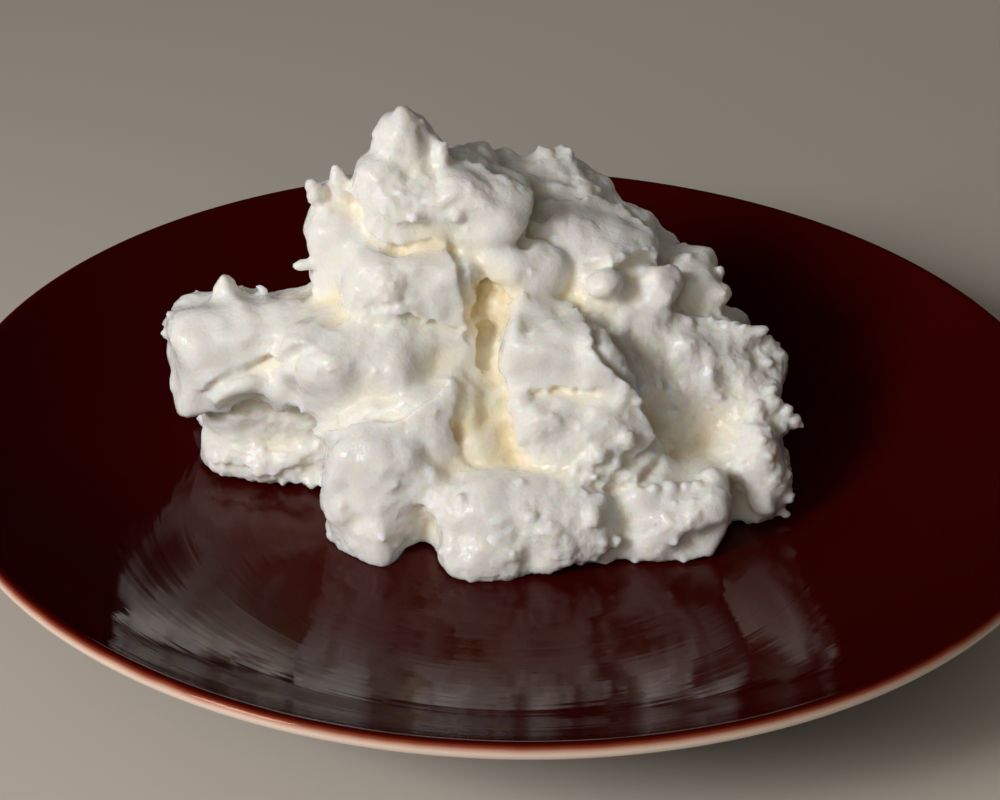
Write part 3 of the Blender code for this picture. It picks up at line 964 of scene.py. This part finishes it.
def fresh_quark():
    material, tree, shader = new_material("fresh_quark_moist")
    place = add_node(tree, "ShaderNodeTexCoord").outputs["Object"]
    damp = add_node(tree, "ShaderNodeTexNoise", Vector=place, Scale=1 / DAMP_PATCH, Detail=4.0)
    gloss = add_node(
        tree,
        "ShaderNodeMapRange",
        Value=damp.outputs["Fac"],
        From_Min=DAMP_SPREAD[0],
        From_Max=DAMP_SPREAD[1],
        To_Min=GLOSS[0],
        To_Max=GLOSS[1],
    )
    grain = add_node(tree, "ShaderNodeTexNoise", Vector=place, Scale=1 / FINE_GRAIN, Detail=3.0)
    bump = add_node(tree, "ShaderNodeBump", Height=grain.outputs["Fac"], Distance=FINE_DEPTH)
    # The painted glow attribute mixes the white towards cream in the hollows: painted bounce light and
    # shade.
    painted_glow = add_node(tree, "ShaderNodeAttribute", {"attribute_name": "painted_glow"})
    tint = add_node(tree, "ShaderNodeValToRGB", Fac=painted_glow.outputs["Fac"])
    tint.color_ramp.elements[0].color = linear(QUARK_WHITE)
    tint.color_ramp.elements[1].color = linear(PAINTED_GLOW_CREAM)
    tree.links.new(tint.outputs["Color"], shader.inputs["Base Color"])
    tree.links.new(gloss.outputs[0], shader.inputs["Roughness"])
    tree.links.new(bump.outputs["Normal"], shader.inputs["Normal"])
    shader.inputs["Subsurface Weight"].default_value = 1.0
    shader.inputs["Subsurface Radius"].default_value = SCATTER_MM
    shader.inputs["Subsurface Scale"].default_value = MM
    shader.inputs["IOR"].default_value = QUARK_IOR
    return material


quark.data.materials.clear()
quark.data.materials.append(fresh_quark())
print("quark nodes:", len(quark.data.materials[0].node_tree.nodes))

# %% [markdown]
# ## Floor and light
#
# The plate stands on a plain pale surface. The key lamp stands in front at the left, about 30 degrees
# high, and sets the shading: bright left faces and soft grey right ones. A weak lamp in front keeps
# the shadows open, and one behind lights the back. In the glaze these two would show as grey veils
# over the red, so they are hidden from reflections, and the world stays dark for the same reason.

# %% Floor
FLOOR_COLOUR = "#cfc9c0"
FLOOR_ROUGHNESS = 0.9
FLOOR_HALF = 3.0


def pale_floor():
    material, _, shader = new_material("matt_paper_floor")
    shader.inputs["Base Color"].default_value = linear(FLOOR_COLOUR)
    shader.inputs["Roughness"].default_value = FLOOR_ROUGHNESS
    mesh = bpy.data.meshes.new("floor")
    half = FLOOR_HALF
    corners = [(-half, -half, 0), (half, -half, 0), (half, half, 0), (-half, half, 0)]
    mesh.from_pydata(corners, [], [(0, 1, 2, 3)])
    floor = new_piece("floor", mesh)
    floor.data.materials.append(material)
    return floor


print("floor:", pale_floor().name)

# %% Lamps and world
# Each is a place, a width in metres, a power in watts, whether the glaze mirrors it, and a colour.
LAMPS = {
    "key": ((-0.56, -0.51, 0.45), 0.24, 4.8, True, "#fffbf7"),
    "front": ((-0.22, -0.62, 0.38), 0.5, 1.4, False, "#fff5e8"),
    "back": ((0.25, 0.75, 0.38), 0.7, 1.3, False, "#fff5e8"),
}
LAMP_TARGET = (0.0, 0.0, 0.03)
WORLD_COLOUR = "#101011"


def add_lamp(name, place, size, power, mirrored, colour):
    lamp = bpy.data.lights.new(name, "AREA")
    lamp.size = size
    lamp.energy = power
    lamp.color = linear(colour)[:3]
    holder = bpy.data.objects.new(name, lamp)
    bpy.context.scene.collection.objects.link(holder)
    holder.location = place
    facing = Vector(LAMP_TARGET) - Vector(place)
    holder.rotation_euler = facing.to_track_quat("-Z", "Y").to_euler()
    holder.visible_glossy = mirrored


for name, facts in LAMPS.items():
    add_lamp(name, *facts)
world = bpy.data.worlds.new("dim_studio")
bpy.context.scene.world = world
world.use_nodes = True
world.node_tree.nodes["Background"].inputs["Color"].default_value = linear(WORLD_COLOUR)
bpy.context.scene.view_settings.view_transform = "Standard"
print("lamps:", len(LAMPS))
